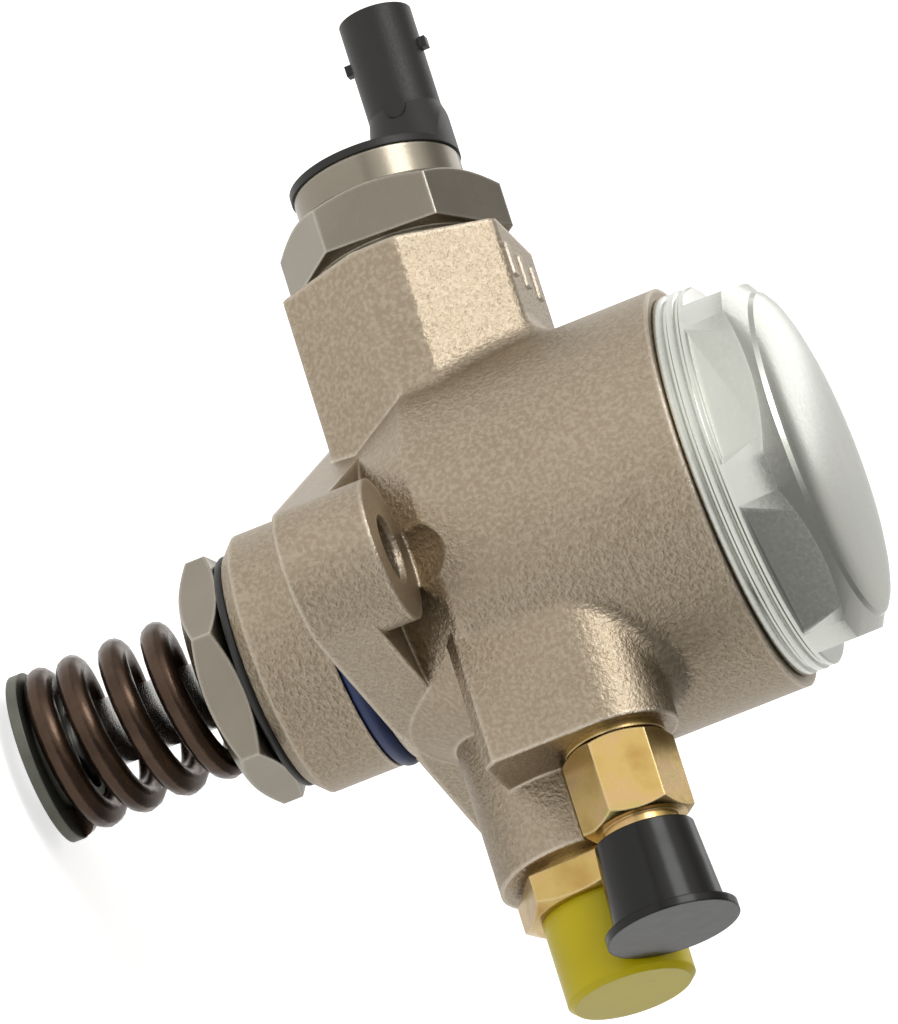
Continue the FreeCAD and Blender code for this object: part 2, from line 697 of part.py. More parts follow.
def damper_cap():
    """The screw-in cap: a threaded spigot, a grooved flange and a domed hexagon."""
    flange_bottom = BARREL_TOP
    flange_top = flange_bottom + CAP_FLANGE_THICKNESS
    reach = CAP_HEX_FLATS / math.sqrt(3)
    hexagonal = hexagon(CAP_HEX_FLATS, flange_top, CAP_HEX_TOP + CAP_DOME_HEIGHT, CAP_HEX_ANGLE)
    rim = reach - CAP_HEX_CORNER_LOSS
    shoulder = CAP_HEX_TOP - (reach - CAP_FACE_RADIUS) * math.tan(math.radians(BEVEL_ANGLE))
    trim = turned([
        (0, flange_top),
        (rim, flange_top),
        (rim, shoulder),
        (CAP_FACE_RADIUS, CAP_HEX_TOP),
        (0, CAP_HEX_TOP),
    ])
    sagitta = CAP_DOME_HEIGHT
    dome_radius = (CAP_FACE_RADIUS ** 2 + sagitta ** 2) / (2 * sagitta)
    ball = Part.makeSphere(dome_radius, V(0, 0, CAP_HEX_TOP + sagitta - dome_radius))
    dome = ball.common(rod(CAP_FACE_RADIUS, CAP_HEX_TOP - OVERCUT, CAP_HEX_TOP + sagitta + OVERCUT))
    flange = rod(CAP_FLANGE_RADIUS, flange_bottom, flange_top)
    spigot = rod(CAP_THREAD_RADIUS - SCREW_FIT, CAP_SPIGOT_END, flange_bottom)
    ring_groove = tube(CAP_THREAD_RADIUS + OVERCUT, CAP_THREAD_RADIUS - CAP_RING_CORD,
                       flange_bottom - CAP_RING_CORD, flange_bottom)
    inside = rod(CAP_INNER_RADIUS, CAP_SPIGOT_END, CAP_INNER_TOP)
    cap = hexagonal.common(trim).fuse([dome, flange, spigot])
    return cap.cut(ring_groove).cut(inside).removeSplitter()


def damper_cap_o_ring():
    radius = CAP_THREAD_RADIUS - CAP_RING_CORD / 2
    return ring_cord(radius, CAP_RING_CORD - 2 * PRESS_GAP, BARREL_TOP - CAP_RING_CORD / 2)


def damper_ring(bottom):
    """A clamp ring that holds the capsule's rim."""
    return tube(CAPSULE_RADIUS, CAPSULE_RADIUS - CAPSULE_RIM, bottom, bottom + DAMPER_RING_HEIGHT)


def diaphragm(rim_side, outward):
    """One half of the gas-filled capsule: a flat rim and a stepped dome, one sheet thick."""
    skin = DIAPHRAGM_THICKNESS
    rim = CAPSULE_RADIUS - CAPSULE_RIM
    crest = rim - DIAPHRAGM_SLOPE
    shelf = crest - DIAPHRAGM_SHELF
    hollow = DIAPHRAGM_BULGE * DIAPHRAGM_HOLLOW
    steps = [(CAPSULE_RADIUS, 0.0), (rim, 0.0), (crest, DIAPHRAGM_BULGE), (shelf, DIAPHRAGM_BULGE),
             (shelf - DIAPHRAGM_SLOPE, hollow), (0.0, hollow)]
    outside = [(radius, rim_side + outward * (rise + skin)) for radius, rise in steps]
    inside = [(radius, rim_side + outward * rise) for radius, rise in reversed(steps)]
    return turned(outside + inside)


def damper_disc_spring():
    """The conical spring that holds the clamp rings down."""
    bottom = DAMPER_FLOOR + 2 * DAMPER_RING_HEIGHT + 2 * DIAPHRAGM_THICKNESS
    top = CAP_SPIGOT_END
    thick = DISC_SPRING_THICKNESS
    outer = CAPSULE_RADIUS
    inner = CAPSULE_RADIUS - CAPSULE_RIM + DISC_SPRING_OVERHANG
    return turned([(outer, bottom), (outer, bottom + thick), (inner, top), (inner - thick, top - thick)])


def housing_levels():
    """Where the housing's inner end, collar, hexagon and rim end along the valve axis."""
    inner_end = VALVE_SEAT_END + VALVE_SEAT_LENGTH
    collar_top = VALVE_BOSS_REACH + HOUSING_COLLAR_THICKNESS
    hex_top = collar_top + HOUSING_HEX_THICKNESS
    return inner_end, collar_top, hex_top, hex_top + HOUSING_RIM_LENGTH


def coil_levels():
    """Where the coil's spool starts and ends along the valve axis."""
    inner_end, collar_top, hex_top, rim_end = housing_levels()
    return inner_end + HOUSING_FLOOR, rim_end - PLUG_DEPTH - CORE_FLANGE_THICKNESS


def solenoid_housing():
    """The screw-in steel housing with its hexagon."""
    inner_end, collar_top, hex_top, rim_end = housing_levels()
    floor = inner_end + HOUSING_FLOOR
    shelf_top = inner_end + HOUSING_SHELF_THICKNESS
    shelf_radius = ARMATURE_RADIUS - HOUSING_SHELF_WIDTH
    outside = turned([
        (0, inner_end),
        (HOUSING_SHANK_RADIUS - SCREW_FIT, inner_end),
        (HOUSING_SHANK_RADIUS - SCREW_FIT, VALVE_BOSS_REACH),
        (HOUSING_COLLAR_RADIUS, VALVE_BOSS_REACH),
        (HOUSING_COLLAR_RADIUS, collar_top),
        (HOUSING_RIM_RADIUS, collar_top),
        (HOUSING_RIM_RADIUS, rim_end),
        (0, rim_end),
    ])
    head = bevelled_hexagon(HOUSING_HEX_FLATS, collar_top, hex_top, HOUSING_HEX_ANGLE, False, True)
    inside = turned([
        (0, inner_end),
        (shelf_radius, inner_end),
        (shelf_radius, shelf_top),
        (ARMATURE_RADIUS + RUNNING_FIT, shelf_top),
        (ARMATURE_RADIUS + RUNNING_FIT, floor),
        (HOUSING_BORE_RADIUS, floor),
        (HOUSING_BORE_RADIUS, rim_end),
        (0, rim_end),
    ])
    return on_valve_axis(outside.fuse(head).cut(inside).removeSplitter())


def solenoid_o_ring():
    """The ring that seals the valve seat in the bore behind the gallery."""
    middle = GALLERY_START + GALLERY_WIDTH + VALVE_RING_SETBACK
    return on_valve_axis(ring_cord(VALVE_BORE_RADIUS - VALVE_RING_CORD / 2, VALVE_RING_CORD, middle))


def coil_bobbin():
    """The plastic spool of the coil."""
    start, end = coil_levels()
    flange = HOUSING_BORE_RADIUS - PRESS_GAP
    bore = COIL_TUBE_RADIUS
    hub = COIL_TUBE_RADIUS + COIL_TUBE_WALL
    return on_valve_axis(turned([
        (bore, start),
        (flange, start),
        (flange, start + COIL_FLANGE_THICKNESS),
        (hub, start + COIL_FLANGE_THICKNESS),
        (hub, end - COIL_FLANGE_THICKNESS),
        (flange, end - COIL_FLANGE_THICKNESS),
        (flange, end),
        (bore, end),
    ]))


def coil_winding():
    """The copper winding on the spool."""
    start, end = coil_levels()
    return on_valve_axis(tube(COIL_RADIUS, COIL_TUBE_RADIUS + COIL_TUBE_WALL,
                              start + COIL_FLANGE_THICKNESS, end - COIL_FLANGE_THICKNESS))


def armature_levels():
    """Both ends of the armature with the valve held open."""
    start = housing_levels()[0] + HOUSING_SHELF_THICKNESS + SEAT_GAP
    return start, start + ARMATURE_LENGTH


def fixed_core():
    """The pole piece, with a flange that closes the coil."""
    face = armature_levels()[1] + VALVE_LIFT + SEAT_GAP
    coil_end = coil_levels()[1]
    stem = COIL_TUBE_RADIUS - PRESS_GAP
    pocket = ARMATURE_SPRING_RADIUS + ARMATURE_SPRING_CLEARANCE
    return on_valve_axis(turned([
        (pocket, face),
        (stem, face),
        (stem, coil_end),
        (HOUSING_BORE_RADIUS - PRESS_GAP, coil_end),
        (HOUSING_BORE_RADIUS - PRESS_GAP, coil_end + CORE_FLANGE_THICKNESS),
        (0, coil_end + CORE_FLANGE_THICKNESS),
        (0, face + ARMATURE_SPRING_POCKET),
        (pocket, face + ARMATURE_SPRING_POCKET),
    ]))


def armature():
    """The sliding iron, bored for the pin and for its spring."""
    start, end = armature_levels()
    pocket = ARMATURE_SPRING_RADIUS + ARMATURE_SPRING_CLEARANCE
    return on_valve_axis(turned([
        (VALVE_PIN_RADIUS + PRESS_GAP, start),
        (ARMATURE_RADIUS, start),
        (ARMATURE_RADIUS, end),
        (pocket, end),
        (pocket, end - ARMATURE_SPRING_POCKET),
        (VALVE_PIN_RADIUS + PRESS_GAP, end - ARMATURE_SPRING_POCKET),
    ]))


def armature_spring():
    """The spring in the core, short of the armature's pocket by the armature's travel."""
    face = armature_levels()[1]
    start = face - ARMATURE_SPRING_POCKET + VALVE_LIFT + SEAT_GAP
    end = face + VALVE_LIFT + SEAT_GAP + ARMATURE_SPRING_POCKET
    mean = ARMATURE_SPRING_RADIUS - ARMATURE_SPRING_WIRE / 2
    return on_valve_axis(coil_spring(mean, ARMATURE_SPRING_WIRE, start, end, ARMATURE_SPRING_TURNS))


def valve_pin():
    """The push pin from the armature to the intake valve."""
    start = VALVE_SEAT_END - VALVE_LIFT
    end = armature_levels()[1] - ARMATURE_SPRING_POCKET
    return on_valve_axis(rod(VALVE_PIN_RADIUS, start, end))


def intake_valve_seat():
    """The seat and guide of the intake valve, with cross holes to the gallery."""
    outer = VALVE_BORE_RADIUS - PRESS_GAP
    groove = VALVE_BORE_RADIUS - VALVE_RING_CORD
    ring_start = GALLERY_START + GALLERY_WIDTH + VALVE_RING_SETBACK - VALVE_RING_GROOVE / 2
    inner_end = housing_levels()[0]
    throat = VALVE_DISC_RADIUS - VALVE_LAND
    seat = turned([
        (throat, VALVE_SEAT_END),
        (outer, VALVE_SEAT_END),
        (outer, ring_start),
        (groove, ring_start),
        (groove, ring_start + VALVE_RING_GROOVE),
        (outer, ring_start + VALVE_RING_GROOVE),
        (outer, inner_end),
        (VALVE_PIN_RADIUS + RUNNING_FIT, inner_end),
        (VALVE_PIN_RADIUS + RUNNING_FIT, GALLERY_START + GALLERY_WIDTH),
        (throat, GALLERY_START + GALLERY_WIDTH),
    ])
    middle = GALLERY_START + GALLERY_WIDTH / 2
    port = Part.makeCylinder(VALVE_CROSS_PORT_RADIUS, 2 * outer, V(-outer, 0, middle), V(1, 0, 0))
    cross_port = Part.makeCylinder(VALVE_CROSS_PORT_RADIUS, 2 * outer, V(0, -outer, middle), V(0, 1, 0))
    return on_valve_axis(seat.cut([port, cross_port]))


def valve_disc_levels():
    """Both faces of the intake valve's disc with the valve held open."""
    back = VALVE_SEAT_END - VALVE_LIFT - SEAT_GAP
    return back - VALVE_DISC_THICKNESS, back


def intake_valve():
    """The flat intake valve on the chamber side of its seat."""
    front, back = valve_disc_levels()
    return on_valve_axis(turned([
        (0, front),
        (VALVE_DISC_RADIUS - VALVE_DISC_CHAMFER, front),
        (VALVE_DISC_RADIUS, front + VALVE_DISC_CHAMFER),
        (VALVE_DISC_RADIUS, back),
        (0, back),
    ]))


def intake_valve_spring():
    """The light spring that closes the intake valve."""
    start = CHAMBER_RADIUS + INTAKE_SPRING_STAND
    end = valve_disc_levels()[0]
    return on_valve_axis(coil_spring(INTAKE_SPRING_RADIUS, INTAKE_SPRING_WIRE, start, end,
                                     INTAKE_SPRING_TURNS))


def connector_levels():
    """Where the connector's disc ends, its post ends and its socket's floor lies, along the valve axis."""
    disc_end = housing_levels()[3] + CONNECTOR_DISC_THICKNESS
    post_end = disc_end + CONNECTOR_POST_LENGTH
    return disc_end, post_end, post_end - SOCKET_DEPTH


def connector_body():
    """The moulded plug socket on the end of the solenoid, with its two nubs and its round button."""
    rim_end = housing_levels()[3]
    disc_end, post_end, socket_floor = connector_levels()
    disc = rod(CONNECTOR_DISC_RADIUS, rim_end, disc_end)
    plug = rod(HOUSING_BORE_RADIUS - PRESS_GAP, rim_end - PLUG_DEPTH, rim_end)
    post = rod(CONNECTOR_RADIUS, disc_end, post_end)
    foot = Part.makeCone(CONNECTOR_RADIUS + CONNECTOR_FOOT_WIDTH, CONNECTOR_RADIUS, CONNECTOR_FOOT_HEIGHT,
                         V(0, 0, disc_end))
    socket = rod(SOCKET_RADIUS, socket_floor, post_end)
    for piece in (post, foot, socket):
        piece.translate(V(CONNECTOR_OFFSET, 0, 0))
    foot = foot.common(rod(CONNECTOR_DISC_RADIUS, disc_end, post_end))
    nubs = Part.makeBox(2 * (CONNECTOR_RADIUS + NUB_RISE), NUB_SIZE, NUB_SIZE,
                        V(CONNECTOR_OFFSET - CONNECTOR_RADIUS - NUB_RISE, -NUB_SIZE / 2,
                          post_end - NUB_SETBACK))
    button = Part.makeCylinder(BUTTON_RADIUS, CONNECTOR_RADIUS + BUTTON_RISE,
                               V(CONNECTOR_OFFSET, 0, disc_end + BUTTON_HEIGHT), V(0, -1, 0))
    body = disc.fuse([plug, post, foot, button, nubs]).cut([socket] + terminal_blades())
    return on_valve_axis(body.removeSplitter())


def terminal_blades():
    """The two contact blades in the socket, made about the valve axis."""
    blades = []
    root = connector_levels()[2] - TERMINAL_ROOT
    for side in (-0.5, 0.5):
        corner = V(CONNECTOR_OFFSET - TERMINAL_THICKNESS / 2,
                   side * TERMINAL_PITCH - TERMINAL_WIDTH / 2, root)
        blades.append(Part.makeBox(TERMINAL_THICKNESS, TERMINAL_WIDTH,
                                   TERMINAL_LENGTH + TERMINAL_ROOT, corner))
    return blades


def connector_terminals():
    return on_valve_axis(Part.makeCompound(terminal_blades()))


def discharge_levels():
    """The centre of the closed ball and the mouth of its seat."""
    mouth = DISCHARGE_SEAT_START + DISCHARGE_SEAT_LENGTH
    return mouth, mouth + BALL_RADIUS * BALL_STANDING


def discharge_seat():
    """The pressed-in seat of the outlet check valve."""
    mouth, centre = discharge_levels()
    outer = DISCHARGE_BORE_RADIUS - PRESS_GAP
    body = rod(outer, DISCHARGE_SEAT_START, mouth)
    passage = rod(DISCHARGE_PORT_RADIUS - 0.5, DISCHARGE_SEAT_START, mouth)
    clearance = Part.makeSphere(BALL_RADIUS + SEAT_GAP, V(0, 0, centre))
    return on_outlet_axis(body.cut(passage).cut(clearance))


def discharge_ball():
    centre = discharge_levels()[1]
    return on_outlet_axis(Part.makeSphere(BALL_RADIUS, V(0, 0, centre)))


def outlet_levels():
    """Where the outlet fitting's hexagon starts and ends along its axis."""
    start = OUTLET_BOSS_REACH + OUTLET_WASHER_THICKNESS
    return start, start + OUTLET_HEX_THICKNESS


def spring_stop():
    """Where the discharge spring rests inside the outlet fitting."""
    return OUTLET_BORE_START + OUTLET_SPRING_POCKET


def discharge_spring():
    centre = discharge_levels()[1]
    start = centre + BALL_RADIUS + BALL_LIFT + SEAT_GAP - DISCHARGE_SPRING_WRAP
    mean = DISCHARGE_SPRING_RADIUS - DISCHARGE_SPRING_WIRE / 2
    coil = coil_spring(mean, DISCHARGE_SPRING_WIRE, start, spring_stop(), DISCHARGE_SPRING_TURNS)
    guard = Part.makeSphere(BALL_RADIUS + SEAT_GAP, V(0, 0, centre + BALL_LIFT))
    return on_outlet_axis(coil.cut(guard))


def outlet_fitting():
    """The high pressure fitting."""
    hex_start, hex_end = outlet_levels()
    shank = OUTLET_BORE_RADIUS - SCREW_FIT
    nipple_end = hex_end + OUTLET_NIPPLE_LENGTH
    nipple = OUTLET_NIPPLE_RADIUS
    cup = OUTLET_PASSAGE_RADIUS
    outside = turned([
        (0, OUTLET_BORE_START),
        (shank, OUTLET_BORE_START),
        (shank, hex_end),
        (nipple, hex_end),
        (nipple, nipple_end - NIPPLE_CHAMFER),
        (nipple - NIPPLE_CHAMFER, nipple_end),
        (0, nipple_end),
    ])
    head = bevelled_hexagon(OUTLET_HEX_FLATS, hex_start, hex_end, OUTLET_HEX_ANGLE, False, True)
    inside = turned([
        (0, OUTLET_BORE_START),
        (cup, OUTLET_BORE_START),
        (cup, spring_stop()),
        (cup / 2, spring_stop()),
        (cup / 2, nipple_end - OUTLET_CONE_DEPTH),
        (cup + OUTLET_CONE_WIDTH, nipple_end),
        (0, nipple_end),
    ])
    return on_outlet_axis(outside.fuse(head).cut(inside).removeSplitter())


def outlet_washer():
    hex_start = outlet_levels()[0]
    return on_outlet_axis(tube(OUTLET_BORE_RADIUS + WASHER_WIDTH, OUTLET_BORE_RADIUS,
                               OUTLET_BOSS_REACH, hex_start))


def outlet_cap():
    """The yellow push-on cap on the outlet fitting."""
    start = outlet_levels()[1]
    end = start + OUTLET_CAP_LENGTH
    bore = OUTLET_NIPPLE_RADIUS + PRESS_GAP
    outer = bore + OUTLET_CAP_WALL
    roof = start + OUTLET_NIPPLE_LENGTH + OUTLET_CAP_ROOM
    return on_outlet_axis(turned([
        (bore, start),
        (outer, start),
        (outer, end - OUTLET_CAP_EDGE),
        (outer - OUTLET_CAP_EDGE, end),
        (0, end),
        (0, roof),
        (bore, roof),
    ]))


def inlet_levels():
    """Where the inlet fitting's hexagon starts and ends along its axis."""
    start = INLET_BOSS_REACH + INLET_WASHER_THICKNESS
    return start, start + INLET_HEX_THICKNESS


def inlet_fitting():
    """The low pressure fitting with a hose nipple."""
    hex_start, hex_end = inlet_levels()
    shank = INLET_BORE_RADIUS - SCREW_FIT
    nipple_end = hex_end + INLET_NIPPLE_LENGTH
    outside = turned([
        (0, INLET_BORE_START),
        (shank, INLET_BORE_START),
        (shank, hex_end),
        (INLET_NIPPLE_RADIUS, hex_end),
        (INLET_NIPPLE_RADIUS, nipple_end - NIPPLE_CHAMFER),
        (INLET_NIPPLE_RADIUS - NIPPLE_CHAMFER, nipple_end),
        (0, nipple_end),
    ])
    head = bevelled_hexagon(INLET_HEX_FLATS, hex_start, hex_end, INLET_HEX_ANGLE, True, True)
    passage = rod(INLET_PASSAGE_RADIUS, INLET_BORE_START, nipple_end)
    return on_inlet_axis(outside.fuse(head).cut(passage).removeSplitter())


def inlet_washer():
    hex_start = inlet_levels()[0]
    return on_inlet_axis(tube(INLET_BORE_RADIUS + WASHER_WIDTH, INLET_BORE_RADIUS,
                              INLET_BOSS_REACH, hex_start))


def inlet_filter():
    """The thimble strainer pressed into the inlet drilling behind the fitting."""
    start = INLET_BORE_START - FILTER_LENGTH
    end = INLET_BORE_START - FILTER_SETBACK
    tip = FILTER_RADIUS - FILTER_TAPER
    return on_inlet_axis(turned([
        (0, start),
        (tip, start),
        (FILTER_RADIUS, end),
        (FILTER_RADIUS - FILTER_WALL, end),
        (tip - FILTER_WALL, start + FILTER_WALL),
        (0, start + FILTER_WALL),
    ]))


def inlet_cap():
    """The black push-on cap with a wide flange at its closed end."""
    start = inlet_levels()[1] + INLET_CAP_GAP
    end = start + INLET_CAP_LENGTH
    bore = INLET_NIPPLE_RADIUS + PRESS_GAP
    flange_start = end - INLET_CAP_FLANGE_THICKNESS
    roof = end - INLET_CAP_ROOF
    return on_inlet_axis(turned([
        (bore, start),
        (INLET_CAP_MOUTH_RADIUS, start),
        (INLET_CAP_END_RADIUS, flange_start),
        (INLET_CAP_FLANGE_RADIUS, flange_start),
        (INLET_CAP_FLANGE_RADIUS, end),
        (0, end),
        (0, roof),
        (bore, roof),
    ]))


def main():
    os.makedirs("parts", exist_ok=True)
    rim_plane = DAMPER_FLOOR + DAMPER_RING_HEIGHT + DIAPHRAGM_THICKNESS
    pieces = {
        "pump_body": pump_body(),
        "pilot_o_ring": pilot_o_ring(),
        "cylinder_liner": cylinder_liner(),
        "seal_holder": seal_holder(),
        "seal_holder_o_ring": seal_holder_o_ring(),
        "plunger_seal": plunger_seal(),
        "plunger": plunger(),
        "spring_seat": spring_seat(),
        "spring_keeper": spring_keeper(),
        "return_spring": return_spring(),
        "damper_cap": damper_cap(),
        "damper_cap_o_ring": damper_cap_o_ring(),
        "damper_lower_ring": damper_ring(DAMPER_FLOOR),
        "lower_diaphragm": diaphragm(rim_plane, -1),
        "upper_diaphragm": diaphragm(rim_plane, 1),
        "damper_upper_ring": damper_ring(rim_plane + DIAPHRAGM_THICKNESS),
        "damper_disc_spring": damper_disc_spring(),
        "solenoid_housing": solenoid_housing(),
        "solenoid_o_ring": solenoid_o_ring(),
        "coil_bobbin": coil_bobbin(),
        "coil_winding": coil_winding(),
        "fixed_core": fixed_core(),
        "armature": armature(),
        "armature_spring": armature_spring(),
        "valve_pin": valve_pin(),
        "intake_valve_seat": intake_valve_seat(),
        "intake_valve": intake_valve(),
        "intake_valve_spring": intake_valve_spring(),
        "connector_body": connector_body(),
        "connector_terminals": connector_terminals(),
        "discharge_seat": discharge_seat(),
        "discharge_ball": discharge_ball(),
        "discharge_spring": discharge_spring(),
        "outlet_fitting": outlet_fitting(),
        "outlet_washer": outlet_washer(),
        "outlet_cap": outlet_cap(),
        "inlet_fitting": inlet_fitting(),
        "inlet_washer": inlet_washer(),
        "inlet_filter": inlet_filter(),
        "inlet_cap": inlet_cap(),
    }
    for name, shape in pieces.items():
        shape.exportStep("parts/" + name + ".step")
        print(name, "solids", len(shape.Solids), "volume", round(shape.Volume, 1), "valid", shape.isValid())


main()
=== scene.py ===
import math

import bpy
from mathutils import Matrix, Vector


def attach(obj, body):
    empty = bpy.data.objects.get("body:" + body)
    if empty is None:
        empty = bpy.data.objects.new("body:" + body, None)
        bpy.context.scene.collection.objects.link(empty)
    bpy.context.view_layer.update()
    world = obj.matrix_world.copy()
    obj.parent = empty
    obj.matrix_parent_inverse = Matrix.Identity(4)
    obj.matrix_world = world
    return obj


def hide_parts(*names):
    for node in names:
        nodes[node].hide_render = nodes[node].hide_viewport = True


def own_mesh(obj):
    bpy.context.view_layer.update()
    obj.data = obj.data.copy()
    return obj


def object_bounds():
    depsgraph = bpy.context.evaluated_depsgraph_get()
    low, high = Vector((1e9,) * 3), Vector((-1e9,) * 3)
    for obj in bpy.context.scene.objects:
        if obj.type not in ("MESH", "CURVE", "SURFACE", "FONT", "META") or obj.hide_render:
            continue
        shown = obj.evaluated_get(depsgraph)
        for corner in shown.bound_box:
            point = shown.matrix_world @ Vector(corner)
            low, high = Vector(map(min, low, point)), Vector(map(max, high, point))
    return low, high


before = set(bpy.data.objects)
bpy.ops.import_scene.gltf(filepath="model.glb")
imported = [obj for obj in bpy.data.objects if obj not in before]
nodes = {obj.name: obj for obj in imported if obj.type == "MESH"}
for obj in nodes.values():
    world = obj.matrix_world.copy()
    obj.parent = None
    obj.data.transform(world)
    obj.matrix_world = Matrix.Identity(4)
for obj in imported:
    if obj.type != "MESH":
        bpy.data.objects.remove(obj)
cad_box = [list(corner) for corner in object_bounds()]


# The studio: a long pale floor under the pump, a grey room with a bright side
# where the pump's valve points, two soft lamps, and a long lens that looks at
# the flange ear and the cap's hexagon from a little above.
floor_gap = 0.0015
floor_width = 16.0
floor_height = cad_box[0][2] - floor_gap
bpy.ops.object.select_all(action="DESELECT")
bpy.ops.mesh.primitive_plane_add(size=floor_width, location=(0.0, 0.0, floor_height))
floor = bpy.context.object
floor.name = "studio_floor"

paint = bpy.data.materials.new("studio_floor_paint")
paint.use_nodes = True
paint_nodes = paint.node_tree.nodes
paint_surface = paint_nodes["Principled BSDF"]
paint_surface.inputs["Base Color"].default_value = (0.86, 0.86, 0.86, 1.0)
paint_surface.inputs["Roughness"].default_value = 0.9
paint_surface.inputs["Specular IOR Level"].default_value = 0.1
paint_surface.inputs["Emission Color"].default_value = (1.0, 1.0, 1.0, 1.0)
ray = paint_nodes.new("ShaderNodeLightPath")
link = paint.node_tree.links.new
floor_glow = [
    ("Is Camera Ray", 0.66),
    ("Is Glossy Ray", 0.42),
    ("Is Transmission Ray", 0.42),
]
glow = None
for ray_kind, strength in floor_glow:
    added = paint_nodes.new("ShaderNodeMath")
    added.operation = "MULTIPLY_ADD"
    added.inputs[1].default_value = strength
    added.inputs[2].default_value = 0.0
    link(ray.outputs[ray_kind], added.inputs[0])
    if glow:
        link(glow, added.inputs[2])
    glow = added.outputs[0]
link(glow, paint_surface.inputs["Emission Strength"])
floor.data.materials.append(paint)

room = bpy.data.worlds.new("studio_room")
bpy.context.scene.world = room
room.use_nodes = True
room_nodes = room.node_tree.nodes
room_link = room.node_tree.links.new
direction = room_nodes.new("ShaderNodeTexCoord")
room_light = 0.24
light_so_far = None
soft_windows = [
    ((-0.85, -0.45, 0.30), 0.10, 0.45),
    ((-0.35, -0.62, 0.70), 0.62, 0.9),
    ((-0.35, 0.92, 0.20), 0.55, 0.45),
]
for towards, edge, strength in soft_windows:
    facing = room_nodes.new("ShaderNodeVectorMath")
    facing.operation = "DOT_PRODUCT"
    facing.inputs[1].default_value = Vector(towards).normalized()
    window = room_nodes.new("ShaderNodeMapRange")
    window.interpolation_type = "SMOOTHSTEP"
    window.inputs["From Min"].default_value = edge
    window.inputs["From Max"].default_value = 1.0
    window.inputs["To Max"].default_value = strength
    total = room_nodes.new("ShaderNodeMath")
    total.operation = "ADD"
    total.inputs[1].default_value = room_light
    room_link(direction.outputs["Generated"], facing.inputs[0])
    room_link(facing.outputs["Value"], window.inputs["Value"])
    room_link(window.outputs["Result"], total.inputs[0])
    if light_so_far:
        room_link(light_so_far, total.inputs[1])
    light_so_far = total.outputs[0]
room_link(light_so_far, room_nodes["Background"].inputs["Strength"])
room_nodes["Background"].inputs["Color"].default_value = (1.0, 0.985, 0.96, 1.0)

lamps = [
    ("key_softbox", (-0.56, -1.0, 1.12), 0.7, 6.5),
    ("back_softbox", (-0.9, 1.1, 0.7), 0.9, 2.5),
]
for lamp_name, place, width, power in lamps:
    bpy.ops.object.light_add(type="AREA", location=place)
    lamp = bpy.context.object
    lamp.name = lamp_name
    lamp.data.shape = "SQUARE"
    lamp.data.size = width
    lamp.data.energy = power
    lamp.rotation_euler = (-Vector(place)).to_track_quat("-Z", "Y").to_euler()

view_azimuth = math.radians(20.6)
view_elevation = math.radians(11.0)
view_roll = math.radians(68.45)
view_distance = 1.9
towards_camera = Vector((
    math.sin(view_azimuth) * math.cos(view_elevation),
    -math.cos(view_azimuth) * math.cos(view_elevation),
    math.sin(view_elevation),
))
level_right = Vector((math.cos(view_azimuth), math.sin(view_azimuth), 0.0))
level_up = towards_camera.cross(level_right)
picture_right = math.cos(view_roll) * level_right + math.sin(view_roll) * level_up
picture_up = math.cos(view_roll) * level_up - math.sin(view_roll) * level_right
view_centre = Vector((0.0, 0.0, 0.01))
shift_right = 0.00127
shift_up = 0.01282
place = view_centre + view_distance * towards_camera
aim = view_centre + shift_right * picture_right + shift_up * picture_up
back = (place - aim).normalized()
across = picture_up.cross(back).normalized()
upwards = back.cross(across)
bpy.ops.object.camera_add()
camera = bpy.context.object
turn_of_camera = Matrix((across, upwards, back)).transposed().to_4x4()
camera.matrix_world = Matrix.Translation(place) @ turn_of_camera
camera.data.lens = 473.0
camera.data.sensor_width = 36.0
camera.data.clip_end = 30.0
bpy.context.scene.camera = camera
bpy.context.scene.view_settings.view_transform = "Standard"


# The pump body: one alloy casting, blasted all over and plated with warm
# nickel. Soft clouds tint it, a fine grain speckles and roughens it, and a
# painted highlight lightens its edges.
class Number:
    """A number that varies over a surface, with its sums written as Python sums."""

    def __init__(self, finish, socket):
        self.finish = finish
        self.socket = socket

    def sum(self, operation, first, second):
        values = {0: first, 1: second}
        made = self.finish.node("ShaderNodeMath", {"operation": operation}, values)
        return Number(self.finish, made.outputs[0])

    def __add__(self, other):
        return self.sum("ADD", self, other)

    def __radd__(self, other):
        return self.sum("ADD", other, self)

    def __sub__(self, other):
        return self.sum("SUBTRACT", self, other)

    def __rsub__(self, other):
        return self.sum("SUBTRACT", other, self)

    def __mul__(self, other):
        return self.sum("MULTIPLY", self, other)

    def __rmul__(self, other):
        return self.sum("MULTIPLY", other, self)

    def clipped(self, low, high):
        limits = {"Value": self, "Min": low, "Max": high}
        return Number(self.finish, self.finish.node("ShaderNodeClamp", {}, limits).outputs[0])


